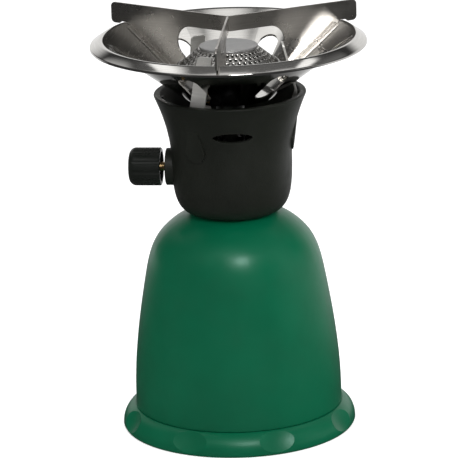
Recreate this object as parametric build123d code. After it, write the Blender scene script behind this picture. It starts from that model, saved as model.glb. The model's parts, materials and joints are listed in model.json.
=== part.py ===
from build123d import *
import os
from math import cos, degrees, atan2, hypot, radians, sin

# Tabletop gas stove on a pierceable cartridge. Millimetres, +Z up, origin on the stove's axis at
# the foot. The valve knob points along -X and the front is -Y. Angles are degrees round Z from +X.

# ---- Clearances ----
TURN_GAP = 0.3  # between pieces of different bodies
FIT_GAP = 0.08  # radial, round a pin, stem or spindle in its hole
WELD_GAP = 0.2  # under a flat flange that lies on the curved dish

# ---- Gas cartridge ----
CARTRIDGE_R = 45.0
CARTRIDGE_BODY_H = 60.0
CARTRIDGE_DOME_H = 27.0
CARTRIDGE_WALL = 0.6
CROWN_R = 9.0  # flat top of the dome
DOME_BULGE = (0.40, 0.72)  # share of the way in, share of the height
CAN_SEAM_H = 3.0
CAN_SEAM_W = 2.0
CAN_ARCH = 6.0  # hollow under the can
NEEDLE_DEPTH = 6.5  # how far the needle reaches below the crown

# ---- Base ring ----
FOOT_R = 59.0
FOOT_W = 2.4
BASE_H = 11.0
FLOOR_TOP = 4.0
BASE_WALL = 2.2
SPIGOT_H = 11.0
DIMPLE_COUNT = 8
DIMPLE_DEPTH = 0.9
DIMPLE_BALL_R = 32.0
DIMPLE_START = 25.2
DIMPLE_Z = 5.9
DIMPLE_TILT = 32.0  # how far a dimple faces upwards
RIB_W = 1.6
SEAM_STEP = 0.6  # the base ring stands proud of the bell at the seam

# ---- Bell housing ----
BELL_WALL = 2.2
SHOULDER_ROOM = 1.0  # radial room round the cartridge's shoulder
BELL_SPREAD = 4.0  # how much wider the bell's foot is than its wall at the cartridge's shoulder
CROWN_ROOM = 19.8  # from the cartridge's crown to the bell's top face
BELL_TOP_R = 21.0
THREAD_WALL = 2.0
# Outside curve, each as (share of the way in from foot to top, share of the height), first up to
# the cartridge's shoulder and then from there to the bell's top face
BELL_SIDE = ((0.01, 0.314464), (0.064, 0.674121))
BELL_CROWN = ((0.224, 0.306944), (0.44, 0.731308), (0.62, 0.859256))

# ---- Valve ----
STEM_R = 7.9
FLANGE_R = 12.5
FLANGE_H = 3.4
VALVE_R = 9.0
SPINDLE_RISE = 22.5  # spindle axis above the bell's top face
NUT_AF = 22.0
NUT_H = 5.5
WASHER_H = 0.8
SEAL_R = 6.4
SEAL_H = 3.7
NEEDLE_R = 1.25
NEEDLE_SHANK_R = 2.0
NEEDLE_SHANK_H = 5.0
GAS_BORE_R = 0.8  # upright gas ways
CROSS_BORE_R = 1.05  # level gas ways
INLET_SHIFT = 4.0  # upright way beside the valve seat, from the stove's axis
INLET_DROP = 10.0  # level way below the spindle
THREAD_R = 2.4  # spindle thread
BOSS_WALL = 3.1  # round the spindle thread
SPINDLE_R = 2.15
VALVE_TOP_RISE = 5.5  # valve body's shoulder above the spindle axis
NECK_H = 4.5  # jet's neck above the shoulder
GLAND_AF = 11.0
GLAND_H = 5.0
GLAND_FACE = 17.0  # valve boss face, from the stove's axis
RING_H = 1.6
RING_W = 1.9
JET_AF = 7.0
JET_H = 4.0
JET_THREAD_L = 3.2
JET_HOLE_R = 0.35

# ---- Knob ----
KNOB_R = 9.6
KNOB_L = 16.2
KNOB_GAP = 2.5  # from the shroud's collar to the closed knob
KNOB_WALL = 2.0
KNOB_HUB_R = 4.2
KNOB_ROUND = 3.6
FLUTE_COUNT = 12
FLUTE_R = 2.4
FLUTE_DEPTH = 0.3
FLUTE_START = -3.0  # round the spindle, from straight up

# ---- Shroud ----
SHROUD_WALL = 2.7
SHROUD_FLOOR = 2.6
SHROUD_H = 61.4
SHROUD_WAIST_R = 30.2
SHROUD_MOUTH_R = 38.4
WAIST_RISE = 27.6  # above the shroud's foot
BELLY_LEAD = (7.2, 2.5)  # handles of the curve: outwards and up from the foot,
BELLY_HOLD = 19.0  # down from the waist,
FLARE_HOLD = 12.0  # up from the waist,
FLARE_LEAD = 10.0  # and down from the mouth,
FLARE_LEAN = 0.46  # where it leans out by this share
RIM_W = 3.3
RIM_ROUND = 0.8
COLLAR_R = 9.35
COLLAR_FACE = 33.0  # from the stove's axis
VENT_L = 19.8
VENT_H = 5.0
VENT_RISE = 45.4  # vent centre above the shroud's foot
VENT_START = -82.4
PAD_W = 10.8
PAD_TOP_W = 5.0
PAD_LOW = 31.5  # pad's lower end above the shroud's foot
PAD_TOP_DROP = 11.5  # pad's upper end below the mouth
PAD_PROUD = 0.8
PAD_LEAN = 2.5  # how much further out the pad's face is at its upper end
PAD_START = -118.6
LUG_R = 1.3
LUG_H = 3.6
LUG_DROP = 1.6  # lug's top below the mouth
LUG_START = -173.5

# ---- Mixing tube and burner ----
TUBE_R = 7.0
TUBE_BORE_R = 5.6
TUBE_STEP = 0.2  # how much thinner the tube is through the dish
THROAT_R = 4.2
AIR_HOLE_R = 2.4
AIR_HOLES = 4
AIR_HOLE_RISE = 11.0  # above the tube's foot
THROAT_RISE = 18.0
TUBE_COLLAR_R = 10.5
TUBE_COLLAR_H = 1.7
BURNER_H = 15.0  # dish floor to burner rim
BURNER_RIM_R = 25.4
BURNER_SHEET = 0.9
BURNER_NUT_AF = 17.0
BURNER_NUT_H = 3.4
SCREEN_SHEET = 0.5
SCREEN_RISE = 8.0
CAP_R = 14.5
CAP_H = 0.9
PORT_R = 0.65
PORT_ROWS = 4
PORTS_PER_ROW = 42
PORT_PITCH = 2.6

# ---- Dish ----
DISH_SHEET = 0.8
DISH_SINK = 1.5  # dish floor below the shroud's mouth
DISH_CREST_R = 63.0
DISH_CREST_RISE = 30.3  # crest corner above the floor, on the sheet's middle
DISH_FLOOR_R = 22.3
BRIM_W = 5.3
BRIM_DROP = 3.4
HEM_H = 0.9
CREST_ROUND = 2.2
SLOT_W = 10.6
SLOT_IN_R = 26.8
SLOT_OUT_R = 48.5
SLOT_COUNT = 6
SLOT_START = -110.6

# ---- Legs ----
LEG_COUNT = 3
LEG_START = -111.4
LEG_W = 8.0
LEG_SHEET = 1.0
LEG_TOP_R = 26.8
LEG_TOP_RISE = 10.0  # above the burner rim
LEG_KNEE_R = 33.0
LEG_KNEE_DROP = 0.9  # below the shroud's mouth
LEG_SHIN_DROP = 14.4
LEG_ANKLE_DROP = 22.7
LEG_BEND_R = 2.5
LEG_WALL_GAP = 0.35  # between the leg's foot and the shroud's inside
LEG_FOOT_RISE = 32.0  # foot's lower end above the shroud's foot
LEG_TOP_SHIFT = 1.0  # sideways, top of the leg
LEG_FOOT_SHIFT = -3.0  # sideways, foot of the leg
EAR_W = 5.0
EAR_SHEET = 0.8
EAR_PROUD = 1.1  # ear's end beyond the leg
SCREW_RISE = 4.0  # above the leg's foot
SCREW_R = 1.4
SCREW_HEAD_R = 2.7
SCREW_HEAD_H = 1.8
SCREW_L = 5.2

# ---- Pan support ----
PAN_RISE = 9.7  # top edge above the dish's crest
ARM_OVERHANG = 3.1  # beyond the dish's brim
ARM_START = -88.5
ARM_SHEET = 1.0
TAB_H = 10.6
TAB_ROUND = 2.4
TAB_W = 5.1
VEE_BEND_R = 3.0
WINDOW_DROP = 7.8  # from the arm's top edge to the window
WINDOW_R = 30.7
WINDOW_ROUND = 8.0
RIM_ROOM = 1.3  # from the burner's rim up to where the window's round end stops
BLADE_WINDOW_R = 20.0
ARM_FOOT_ROOM = 1.2  # radial, from the burner's rim to the arms' feet
FLANGE_W = 3.2

# ---- Sizes that follow from the driving ones ----
cartridge_foot_z = FLOOR_TOP + TURN_GAP
shoulder_z = cartridge_foot_z + CARTRIDGE_BODY_H
crown_z = shoulder_z + CARTRIDGE_DOME_H
shoulder_r = CARTRIDGE_R + SHOULDER_ROOM + BELL_WALL
bell_foot_r = shoulder_r + BELL_SPREAD
bell_foot_z = BASE_H + TURN_GAP
bell_top_z = crown_z + CROWN_ROOM
seam_r = bell_foot_r + SEAM_STEP
bell_bore_r = bell_foot_r - THREAD_WALL
spigot_r = bell_bore_r - TURN_GAP
stem_hole_r = STEM_R + FIT_GAP
shroud_floor_z = bell_top_z + SHROUD_FLOOR
mouth_z = bell_top_z + SHROUD_H
waist_z = bell_top_z + WAIST_RISE
spindle_z = bell_top_z + SPINDLE_RISE
seal_foot_z = crown_z + TURN_GAP
seal_top_z = seal_foot_z + SEAL_H
body_top_z = spindle_z + VALVE_TOP_RISE
neck_top_z = body_top_z + NECK_H
ring_seat_r = SPINDLE_R + RING_W
knob_face = COLLAR_FACE + KNOB_GAP
dish_floor_z = mouth_z - DISH_SINK
burner_rim_z = dish_floor_z + BURNER_H
dish_mid_z = dish_floor_z - DISH_SHEET / 2
crest_z = dish_mid_z + DISH_CREST_RISE
pan_z = crest_z + PAN_RISE
dish_slope = DISH_CREST_RISE / (DISH_CREST_R - DISH_FLOOR_R)
dish_tilt = degrees(atan2(DISH_CREST_RISE, DISH_CREST_R - DISH_FLOOR_R))
leg_top_z = burner_rim_z + LEG_TOP_RISE
leg_foot_z = bell_top_z + LEG_FOOT_RISE
knee_z = mouth_z - LEG_KNEE_DROP
screw_z = leg_foot_z + SCREW_RISE
pad_top_z = mouth_z - PAD_TOP_DROP
brim_r = DISH_CREST_R + BRIM_W
arm_reach = brim_r + ARM_OVERHANG
arm_foot_r = BURNER_RIM_R + ARM_FOOT_ROOM
tab_in_r = arm_reach - TAB_W
arm_seat_z = crest_z + 0.1


# ---- Small helpers ----
ON_FOOT = (Align.CENTER, Align.CENTER, Align.MIN)


def turned(*edges):
    """Solid of revolution round Z from a closed outline drawn as (radius, height)."""
    return revolve(Plane.XZ * make_face(list(edges)), Axis.Z)


def turned_polygon(*points):
    return revolve(Plane.XZ * make_face(Polyline(*points, close=True)), Axis.Z)


def drum(radius, low_z, high_z):
    return Pos(0, 0, low_z) * Cylinder(radius, high_z - low_z, align=ON_FOOT)


def hexagon(across_flats, low_z, high_z):
    outline = RegularPolygon(across_flats / 2, 6, major_radius=False)
    return Pos(0, 0, low_z) * extrude(outline, high_z - low_z)


def sheet_line(points, bend_r, thickness):
    """Cross-section of a bent sheet that follows a middle line of straight runs."""
    return Plane.XZ * trace(FilletPolyline(*points, radius=bend_r), line_width=thickness)


def moved_in(points, wall):
    """The same curve moved by the wall's thickness to its left, for a run drawn upwards."""
    inner = []
    for i, (r, z) in enumerate(points):
        before, after = points[max(i - 1, 0)], points[min(i + 1, len(points) - 1)]
        run, rise = after[0] - before[0], after[1] - before[1]
        length = hypot(run, rise)
        inner.append((r - wall * rise / length, z + wall * run / length))
    return inner


def on_side(shape):
    """Lays a piece drawn along +Z from the origin along -X at the spindle's height."""
    return Pos(0, 0, spindle_z) * Rot(0, -90, 0) * shape


def at_angle(angle, shape):
    return Rot(0, 0, angle) * shape


def thirds(start):
    return [start + 360 / LEG_COUNT * i for i in range(LEG_COUNT)]


# ---- Base ring ----
def base_flare(inset):
    """Quarter-round side of the base ring from its foot to the seam."""
    foot, seam = (FOOT_R - inset, 1.0), (seam_r - inset * 0.55, BASE_H - inset)
    rise = seam[1] - foot[1]
    middle = (seam[0] + 0.70 * (foot[0] - seam[0]), foot[1] + 0.63 * rise)
    return foot, seam, ThreePointArc(foot, middle, seam)


def make_base_ring():
    pocket_r = spigot_r - BASE_WALL
    foot, seam, flare = base_flare(0)
    inner_foot, inner_seam, inner_flare = base_flare(BASE_WALL)
    spigot_top = BASE_H + SPIGOT_H
    low = FLOOR_TOP - BASE_WALL
    outside = [flare, Polyline(seam, (spigot_r, BASE_H), (spigot_r, spigot_top - 0.6),
                               (spigot_r - 0.6, spigot_top), (pocket_r, spigot_top),
                               (pocket_r, FLOOR_TOP), (0, FLOOR_TOP), (0, low), (spigot_r, low),
                               (spigot_r, inner_seam[1]), inner_seam)]
    inside = [inner_flare, Polyline(inner_foot, (FOOT_R - FOOT_W, 0), (FOOT_R - 0.6, 0), foot)]
    ring = turned(*outside, *inside)
    web_h = BASE_H - BASE_WALL - low
    web_end = FOOT_R - FOOT_W
    web = Pos((spigot_r + web_end) / 2, 0, low + web_h / 2) * Box(web_end - spigot_r + 1.0, RIB_W, web_h)
    solid_flare = turned(flare, Polyline(seam, (spigot_r - 0.5, BASE_H), (spigot_r - 0.5, 0.9), foot))
    for i in range(DIMPLE_COUNT):
        ring += at_angle(360 / DIMPLE_COUNT * (i + 0.5) + DIMPLE_START, web) & solid_flare
    middle_r, tilt = (seam_r + FOOT_R) / 2 + 0.9, radians(DIMPLE_TILT)
    reach = DIMPLE_BALL_R - DIMPLE_DEPTH
    ball = Pos(middle_r + reach * cos(tilt), 0, DIMPLE_Z + reach * sin(tilt)) * Sphere(DIMPLE_BALL_R)
    for i in range(DIMPLE_COUNT):
        ring -= at_angle(360 / DIMPLE_COUNT * i + DIMPLE_START, ball)
    return ring


# ---- Cartridge ----
def cartridge_dome(inset):
    """Dome outline from the shoulder to the edge of the flat crown."""
    shoulder = (CARTRIDGE_R - inset, shoulder_z)
    crown = (CROWN_R, crown_z - inset)
    bulge = (CARTRIDGE_R - inset - DOME_BULGE[0] * (CARTRIDGE_R - CROWN_R),
             shoulder_z - inset + DOME_BULGE[1] * CARTRIDGE_DOME_H)
    return shoulder, crown, Spline(shoulder, bulge, crown, tangents=[(0, 1), (-1, 0.12)])


def make_cartridge_shell():
    shoulder, crown, dome = cartridge_dome(0)
    in_shoulder, in_crown, in_dome = cartridge_dome(CARTRIDGE_WALL)
    hole_r = NEEDLE_R + TURN_GAP
    seam_top, ceiling = cartridge_foot_z + CAN_SEAM_H, crown_z - CARTRIDGE_WALL
    wall = Polyline(in_shoulder, (CARTRIDGE_R - CARTRIDGE_WALL, seam_top), (CARTRIDGE_R, seam_top), shoulder)
    return turned(dome, Polyline(crown, (hole_r, crown_z), (hole_r, ceiling), in_crown), in_dome, wall)


def make_cartridge_bottom():
    """Concave bottom disc with the rolled seam that the can stands on."""
    foot, top, low = cartridge_foot_z, cartridge_foot_z + CAN_SEAM_H, cartridge_foot_z + CAN_SEAM_H - 1.0
    seam_in, arch_z = CARTRIDGE_R - CAN_SEAM_W, low + CAN_ARCH
    under = TangentArc((0, arch_z), (seam_in, low), tangent=(1, 0))
    over = TangentArc((0, arch_z + CARTRIDGE_WALL), (seam_in, top), tangent=(1, 0))
    rim = Polyline((seam_in, top), (CARTRIDGE_R, top), (CARTRIDGE_R, foot + 0.5),
                   (CARTRIDGE_R - 0.5, foot), (seam_in + 0.4, foot), (seam_in, foot + 0.5), (seam_in, low))
    return turned(rim, under, Line((0, arch_z), (0, arch_z + CARTRIDGE_WALL)), over)


# ---- Bell housing ----
def bell_points():
    inset, side_h, crown_h = bell_foot_r - BELL_TOP_R, shoulder_z - bell_foot_z, bell_top_z - shoulder_z
    side = [(bell_foot_r - inset * a, bell_foot_z + side_h * b) for a, b in BELL_SIDE]
    crown = [(bell_foot_r - inset * a, shoulder_z + crown_h * b) for a, b in BELL_CROWN]
    return [(bell_foot_r, bell_foot_z)] + side + crown + [(BELL_TOP_R, bell_top_z)]


def make_bell_housing():
    outer = bell_points()
    ceiling = bell_top_z - BELL_WALL
    inner = moved_in(outer[1:], BELL_WALL)[:-1]
    thread_top = BASE_H + SPIGOT_H + 2.0
    inner_start, inner_end = (inner[0][0], thread_top + 2.0), (BELL_TOP_R - 1.0, ceiling)
    outside = Spline(*outer, tangents=[(0, 1), (-1, 0.33)])
    inside = Spline(inner_end, *reversed(inner[1:]), inner_start, tangents=[(1, -0.33), (0.1, -1)])
    top = Polyline(outer[-1], (stem_hole_r, bell_top_z), (stem_hole_r, ceiling), inner_end)
    foot = Polyline(inner_start, (bell_bore_r, thread_top), (bell_bore_r, bell_foot_z), outer[0])
    return turned(outside, top, inside, foot)


# ---- Valve ----
def make_valve_body():
    lip_z, flange_top = crown_z + 1.4, shroud_floor_z + FLANGE_H
    seal_r, neck_r = SEAL_R + FIT_GAP, TUBE_BORE_R - FIT_GAP
    body = turned_polygon(
        (0, seal_top_z), (seal_r, seal_top_z), (seal_r, lip_z), (STEM_R, lip_z),
        (STEM_R, shroud_floor_z), (FLANGE_R, shroud_floor_z), (FLANGE_R, flange_top - 0.6),
        (FLANGE_R - 0.6, flange_top), (VALVE_R, flange_top), (VALVE_R, body_top_z - 0.6),
        (VALVE_R - 0.6, body_top_z), (neck_r, body_top_z), (neck_r, neck_top_z), (0, neck_top_z))
    body += on_side(drum(THREAD_R + BOSS_WALL, 0, GLAND_FACE))
    thread_r, cross_z = THREAD_R + FIT_GAP, spindle_z - INLET_DROP
    body -= drum(NEEDLE_SHANK_R + FIT_GAP, seal_top_z, seal_top_z + NEEDLE_SHANK_H)
    body -= drum(GAS_BORE_R, seal_top_z, cross_z)
    body -= Pos(0, 0, cross_z - spindle_z) * on_side(drum(CROSS_BORE_R, -1.2, INLET_SHIFT + 1.2))
    body -= Pos(-INLET_SHIFT, 0, 0) * drum(GAS_BORE_R, cross_z, spindle_z)
    body -= drum(GAS_BORE_R, spindle_z, neck_top_z)
    body -= drum(thread_r, neck_top_z - JET_THREAD_L - 0.2, neck_top_z)
    seat_end = 1.0 + thread_r - CROSS_BORE_R
    body -= on_side(turned_polygon(
        (0, -1.2), (CROSS_BORE_R, -1.2), (CROSS_BORE_R, 1.0), (thread_r, seat_end),
        (thread_r, GLAND_FACE - RING_H), (ring_seat_r, GLAND_FACE - RING_H),
        (ring_seat_r, GLAND_FACE), (0, GLAND_FACE)))
    return body


def make_piercing_needle():
    tip_z, shank_z = crown_z - NEEDLE_DEPTH, seal_top_z + NEEDLE_SHANK_H
    bore_r, shank_r = NEEDLE_R * 0.4, NEEDLE_SHANK_R
    return turned_polygon((bore_r, tip_z), (NEEDLE_R, tip_z + 2.6), (NEEDLE_R, seal_top_z),
                          (shank_r, seal_top_z), (shank_r, shank_z), (bore_r, shank_z))


def make_cartridge_seal():
    bore_r = NEEDLE_R + 0.3
    return drum(SEAL_R, seal_foot_z, seal_top_z) - drum(bore_r, seal_foot_z, seal_top_z)


def make_valve_washer():
    low, high = bell_top_z - BELL_WALL - WASHER_H, bell_top_z - BELL_WALL
    return drum(NUT_AF / 2 + 2.0, low, high) - drum(stem_hole_r, low, high)


def make_valve_nut():
    top = bell_top_z - BELL_WALL - WASHER_H
    low, flat_r = top - NUT_H, NUT_AF / 2
    rounded = turned_polygon((0, top), (flat_r + 1.6, top), (flat_r + 1.6, low + 1.0), (flat_r, low),
                             (0, low))
    return hexagon(NUT_AF, low, top) & rounded - drum(stem_hole_r, low, top)


def make_gland_nut():
    low, high, flat_r = GLAND_FACE, GLAND_FACE + GLAND_H, GLAND_AF / 2
    rounded = turned_polygon((0, low), (flat_r + 0.9, low), (flat_r + 0.9, high - 0.7), (flat_r - 0.2, high),
                             (0, high))
    return on_side(hexagon(GLAND_AF, low, high) & rounded - drum(SPINDLE_R + FIT_GAP, low, high))


def make_spindle_ring():
    """Packing ring round the spindle, held in the boss by the gland nut."""
    low, high = GLAND_FACE - RING_H + 0.1, GLAND_FACE - 0.1
    ring = drum(ring_seat_r - FIT_GAP, low, high) - drum(SPINDLE_R + FIT_GAP, low, high)
    return on_side(chamfer(ring.edges().filter_by(GeomType.CIRCLE), 0.3))


def make_valve_spindle():
    tip_r, tip = 0.55, 1.2
    neck, shank_end = GLAND_FACE - RING_H - 1.4, knob_face + KNOB_L - KNOB_WALL - 4.0
    return on_side(turned_polygon(
        (0, tip - 0.9), (tip_r, tip), (THREAD_R, tip + THREAD_R - tip_r), (THREAD_R, neck),
        (SPINDLE_R, neck + 0.5), (SPINDLE_R, shank_end - 0.4), (SPINDLE_R - 0.4, shank_end), (0, shank_end)))


def make_knob():
    near, far = knob_face, knob_face + KNOB_L
    cap = far - KNOB_WALL
    arc = RadiusArc((KNOB_R, far - KNOB_ROUND), (KNOB_R - KNOB_ROUND, far), -KNOB_ROUND)
    shell = revolve(Plane.XZ * make_face([
        arc,
        Polyline((KNOB_R - KNOB_ROUND, far), (0, far), (0, cap - 3.6), (SPINDLE_R + FIT_GAP, cap - 3.6),
                 (SPINDLE_R + FIT_GAP, near + 1.2), (KNOB_HUB_R, near + 1.2), (KNOB_HUB_R, cap),
                 (KNOB_R - KNOB_WALL, cap), (KNOB_R - KNOB_WALL, near), (KNOB_R - 0.4, near),
                 (KNOB_R, near + 0.4), (KNOB_R, far - KNOB_ROUND)),
    ]), Axis.Z)
    groove = Pos(KNOB_R + FLUTE_R - FLUTE_DEPTH, 0, 0) * drum(FLUTE_R, near - 1, far - KNOB_ROUND * 0.6)
    for i in range(FLUTE_COUNT):
        shell -= at_angle(360 / FLUTE_COUNT * i + FLUTE_START, groove)
    return on_side(shell)


def make_jet_nozzle():
    foot, shoulder, tip = neck_top_z - JET_THREAD_L, neck_top_z + JET_H * 0.6, neck_top_z + JET_H
    nozzle = drum(THREAD_R, foot, neck_top_z) + hexagon(JET_AF, neck_top_z, shoulder)
    nozzle += Pos(0, 0, shoulder) * Cone(JET_AF / 2 - 0.2, 1.3, tip - shoulder, align=ON_FOOT)
    return nozzle - drum(GAS_BORE_R, foot, neck_top_z + 1.0) - drum(JET_HOLE_R, foot, tip)


# ---- Shroud ----
def shroud_side(waist_r, mouth_r, foot_z, lead_share):
    """Side of the shroud as (radius, height) curves: a belly up to the waist, then the flare."""
    foot, waist, mouth = (BELL_TOP_R, foot_z), (waist_r, waist_z), (mouth_r, mouth_z)
    lead = (foot[0] + BELLY_LEAD[0] * lead_share, foot_z + BELLY_LEAD[1] * lead_share)
    belly = Bezier(foot, lead, (waist_r, waist_z - BELLY_HOLD), waist)
    flare = Bezier(waist, (waist_r, waist_z + FLARE_HOLD),
                   (mouth_r - FLARE_LEAD * FLARE_LEAN, mouth_z - FLARE_LEAD), mouth)
    return foot, mouth, [belly, flare]


def shroud_pad():
    """Low flat-faced pad on the outside that backs a leg's screw, along +X. It dies into the flare."""
    low_z, half, top_half = bell_top_z + PAD_LOW, PAD_W / 2, PAD_TOP_W / 2
    bow_z = low_z + half
    sides = make_face(Polyline((-half, bow_z), (half, bow_z), (top_half, pad_top_z), (-top_half, pad_top_z),
                               close=True))
    outline = Plane.YZ * (sides + Pos(0, bow_z) * Circle(half))
    face_r = SHROUD_WAIST_R + PAD_PROUD
    side_view = make_face(Polyline((SHROUD_WAIST_R - SHROUD_WALL, low_z), (face_r, low_z),
                                   (face_r + PAD_LEAN, pad_top_z), (SHROUD_WAIST_R - SHROUD_WALL, pad_top_z),
                                   close=True))
    return extrude(outline, 2 * SHROUD_MOUTH_R) & extrude(Plane.XZ * side_view, PAD_W, both=True)


def vent_cutter():
    """Oval bar along +X at the height of the vents."""
    shape = Plane.YZ * Pos(0, bell_top_z + VENT_RISE) * Ellipse(VENT_L / 2, VENT_H / 2)
    return Pos(SHROUD_WAIST_R / 2, 0, 0) * extrude(shape, SHROUD_MOUTH_R)


def make_shroud():
    foot, mouth, outside = shroud_side(SHROUD_WAIST_R, SHROUD_MOUTH_R, bell_top_z, 1)
    inner_foot, inner_top, inside = shroud_side(SHROUD_WAIST_R - SHROUD_WALL, SHROUD_MOUTH_R - RIM_W,
                                                shroud_floor_z, 1 - SHROUD_WALL / BELLY_LEAD[0])
    floor = Polyline(inner_foot, (stem_hole_r, shroud_floor_z), (stem_hole_r, bell_top_z), foot)
    shroud = turned(*outside, Line(mouth, inner_top), *inside, floor)
    shroud = fillet(shroud.edges().filter_by(GeomType.CIRCLE).group_by(Axis.Z)[-1], RIM_ROUND)
    over_z = mouth_z + 5
    hollow = turned(*inside, Polyline(inner_foot, (0, shroud_floor_z), (0, over_z), (inner_top[0], over_z),
                                     inner_top))
    collar = chamfer(drum(COLLAR_R, SHROUD_WAIST_R - 6, COLLAR_FACE).edges().group_by(Axis.Z)[-1], 0.3)
    shroud += on_side(collar)
    for angle in thirds(PAD_START):
        shroud += at_angle(angle, shroud_pad())
    shroud -= hollow
    lug_top_z = mouth_z - LUG_DROP
    lug = Pos(SHROUD_MOUTH_R - RIM_W - 0.9, 0, 0) * drum(LUG_R, lug_top_z - LUG_H, lug_top_z)
    for angle in thirds(LUG_START):
        shroud += at_angle(angle, lug)
    for angle in thirds(VENT_START):
        shroud -= at_angle(angle, vent_cutter())
    shroud -= on_side(drum(SPINDLE_R + 0.7, SHROUD_WAIST_R - 8, COLLAR_FACE + 1))
    for angle in thirds(LEG_START):
        shroud -= at_angle(angle, screw_at(drum(SCREW_R, 0, SCREW_L + 0.3)))
    slit = Pos(SHROUD_MOUTH_R - 1.5, 0, mouth_z - 0.9) * Box(4, 0.6, 2.4)
    return shroud - at_angle(LUG_START + 3, slit)


# ---- Legs ----
def leg_shift(z):
    """Sideways place of a leg's middle at a height."""
    share = (z - leg_foot_z) / (leg_top_z - leg_foot_z)
    return LEG_FOOT_SHIFT + share * (LEG_TOP_SHIFT - LEG_FOOT_SHIFT)


def leg_foot_r():
    """Middle of the leg's foot, so that its edges clear the shroud's round inside."""
    half = LEG_W / 2 + abs(LEG_FOOT_SHIFT)
    inside_r = SHROUD_WAIST_R - SHROUD_WALL - LEG_WALL_GAP
    return (inside_r ** 2 - half ** 2) ** 0.5 - LEG_SHEET / 2


def leg_lean_r(z):
    """Middle of the leg's leaning upper run at a height."""
    return LEG_TOP_R + (leg_top_z - z) * (LEG_KNEE_R - LEG_TOP_R) / (leg_top_z - knee_z)


def screw_at(shape):
    """Puts a screw shape drawn along +Z from under its head through a leg's foot, along +X."""
    return Pos(leg_foot_r() - LEG_SHEET / 2, leg_shift(screw_z), screw_z) * Rot(0, 90, 0) * shape


def make_leg():
    """Bent strip, drawn along +X: leans out through the dish, then follows the shroud's inside."""
    foot_r, shin_z = leg_foot_r(), mouth_z - LEG_SHIN_DROP
    line = [(LEG_TOP_R, leg_top_z), (LEG_KNEE_R, knee_z), (foot_r + 2.5, shin_z),
            (foot_r, mouth_z - LEG_ANKLE_DROP), (foot_r, leg_foot_z)]
    strip = extrude(sheet_line(line, LEG_BEND_R, LEG_SHEET), LEG_W, both=True)
    half = LEG_W / 2
    low, high = leg_shift(leg_foot_z), leg_shift(leg_top_z)
    front = make_face(Polyline((low - half, leg_foot_z - 1), (low + half, leg_foot_z - 1),
                               (high + half, leg_top_z), (high - half, leg_top_z), close=True))
    front = fillet(front.vertices().group_by(Axis.Y)[-1], 1.8)
    leg = strip & extrude(Plane.YZ * front, 60)
    leg -= Pos(leg_lean_r(burner_rim_z), 0, burner_rim_z) * Box(6, EAR_W + 0.4, EAR_SHEET + 0.5)
    return leg - screw_at(drum(SCREW_R + 0.3, -1, LEG_SHEET + 1))


def make_leg_screws():
    head = drum(SCREW_HEAD_R, -SCREW_HEAD_H, 0)
    head = chamfer(head.edges().group_by(Axis.Z)[0], 0.7)
    screw = drum(SCREW_R - FIT_GAP, -0.1, SCREW_L) + head
    return Compound(children=[at_angle(angle, screw_at(screw)) for angle in thirds(LEG_START)])


# ---- Mixing tube and burner ----
def make_mixing_tube():
    foot, top = body_top_z, dish_floor_z + BURNER_SHEET + BURNER_NUT_H + 1.0
    collar_top = dish_floor_z - DISH_SHEET
    neck_r = TUBE_R - TUBE_STEP
    collar_low = collar_top - TUBE_COLLAR_H
    tube = turned_polygon(
        (TUBE_BORE_R, foot), (TUBE_R, foot), (TUBE_R, collar_low), (TUBE_COLLAR_R, collar_low),
        (TUBE_COLLAR_R, collar_top), (neck_r, collar_top), (neck_r, top), (TUBE_BORE_R, top),
        (THROAT_R, foot + THROAT_RISE + 3), (THROAT_R, foot + THROAT_RISE),
        (TUBE_BORE_R, foot + THROAT_RISE - 3))
    hole = Pos(0, 0, foot + AIR_HOLE_RISE) * Rot(0, 90, 0) * Cylinder(AIR_HOLE_R, 2 * TUBE_R + 2)
    for i in range(AIR_HOLES // 2):
        tube -= at_angle(45 + 360 / AIR_HOLES * i, hole)
    return tube


def make_burner_base():
    floor_z = dish_floor_z + BURNER_SHEET / 2
    rim = BURNER_RIM_R - BURNER_SHEET / 2
    line = [(TUBE_R + 0.1, floor_z), (10.5, floor_z), (rim, burner_rim_z - 0.6), (rim, burner_rim_z + 1.0)]
    cup = revolve(sheet_line(line, 0.9, BURNER_SHEET), Axis.Z)
    cup += Pos(0, 0, burner_rim_z + 0.4) * Torus(BURNER_RIM_R - 0.1, 0.65)
    ear_end = leg_lean_r(burner_rim_z) + LEG_SHEET / 2 + EAR_PROUD
    ear = Pos((rim + ear_end) / 2, 0, burner_rim_z) * Box(ear_end - rim, EAR_W, EAR_SHEET)
    for angle in thirds(LEG_START):
        cup += at_angle(angle, ear)
    return cup


def make_burner_nut():
    foot = dish_floor_z + BURNER_SHEET
    top = foot + BURNER_NUT_H
    return hexagon(BURNER_NUT_AF, foot, top) - drum(TUBE_R - TUBE_STEP + FIT_GAP, foot, top)


def screen_run():
    """Foot and head of the perforated cone, on the sheet's middle."""
    foot = (BURNER_RIM_R - BURNER_SHEET - 0.5, burner_rim_z + 0.9)
    return foot, (CAP_R, foot[1] + SCREEN_RISE)


def make_burner_screen():
    foot, head = screen_run()
    outer_r = BURNER_RIM_R - BURNER_SHEET - SCREEN_SHEET / 2 - 0.1
    line = [(outer_r, foot[1] - 0.9), (outer_r, foot[1]), head, (head[0] - 3.0, head[1])]
    screen = revolve(sheet_line(line, 0.5, SCREEN_SHEET), Axis.Z)
    tilt = degrees(atan2(head[1] - foot[1], foot[0] - head[0]))
    port = Pos(0, 0, -1.5) * extrude(RegularPolygon(PORT_R, 6), 3)
    ports = []
    for row in range(PORT_ROWS):
        along = 1.7 + PORT_PITCH * row
        r, z = head[0] + along * cos(radians(tilt)), head[1] - along * sin(radians(tilt))
        start = 180 / PORTS_PER_ROW * (row % 2)
        for place in PolarLocations(r, PORTS_PER_ROW, start_angle=start):
            ports.append(Pos(0, 0, z) * place * Rot(0, tilt, 0) * port)
    return screen - ports


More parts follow.
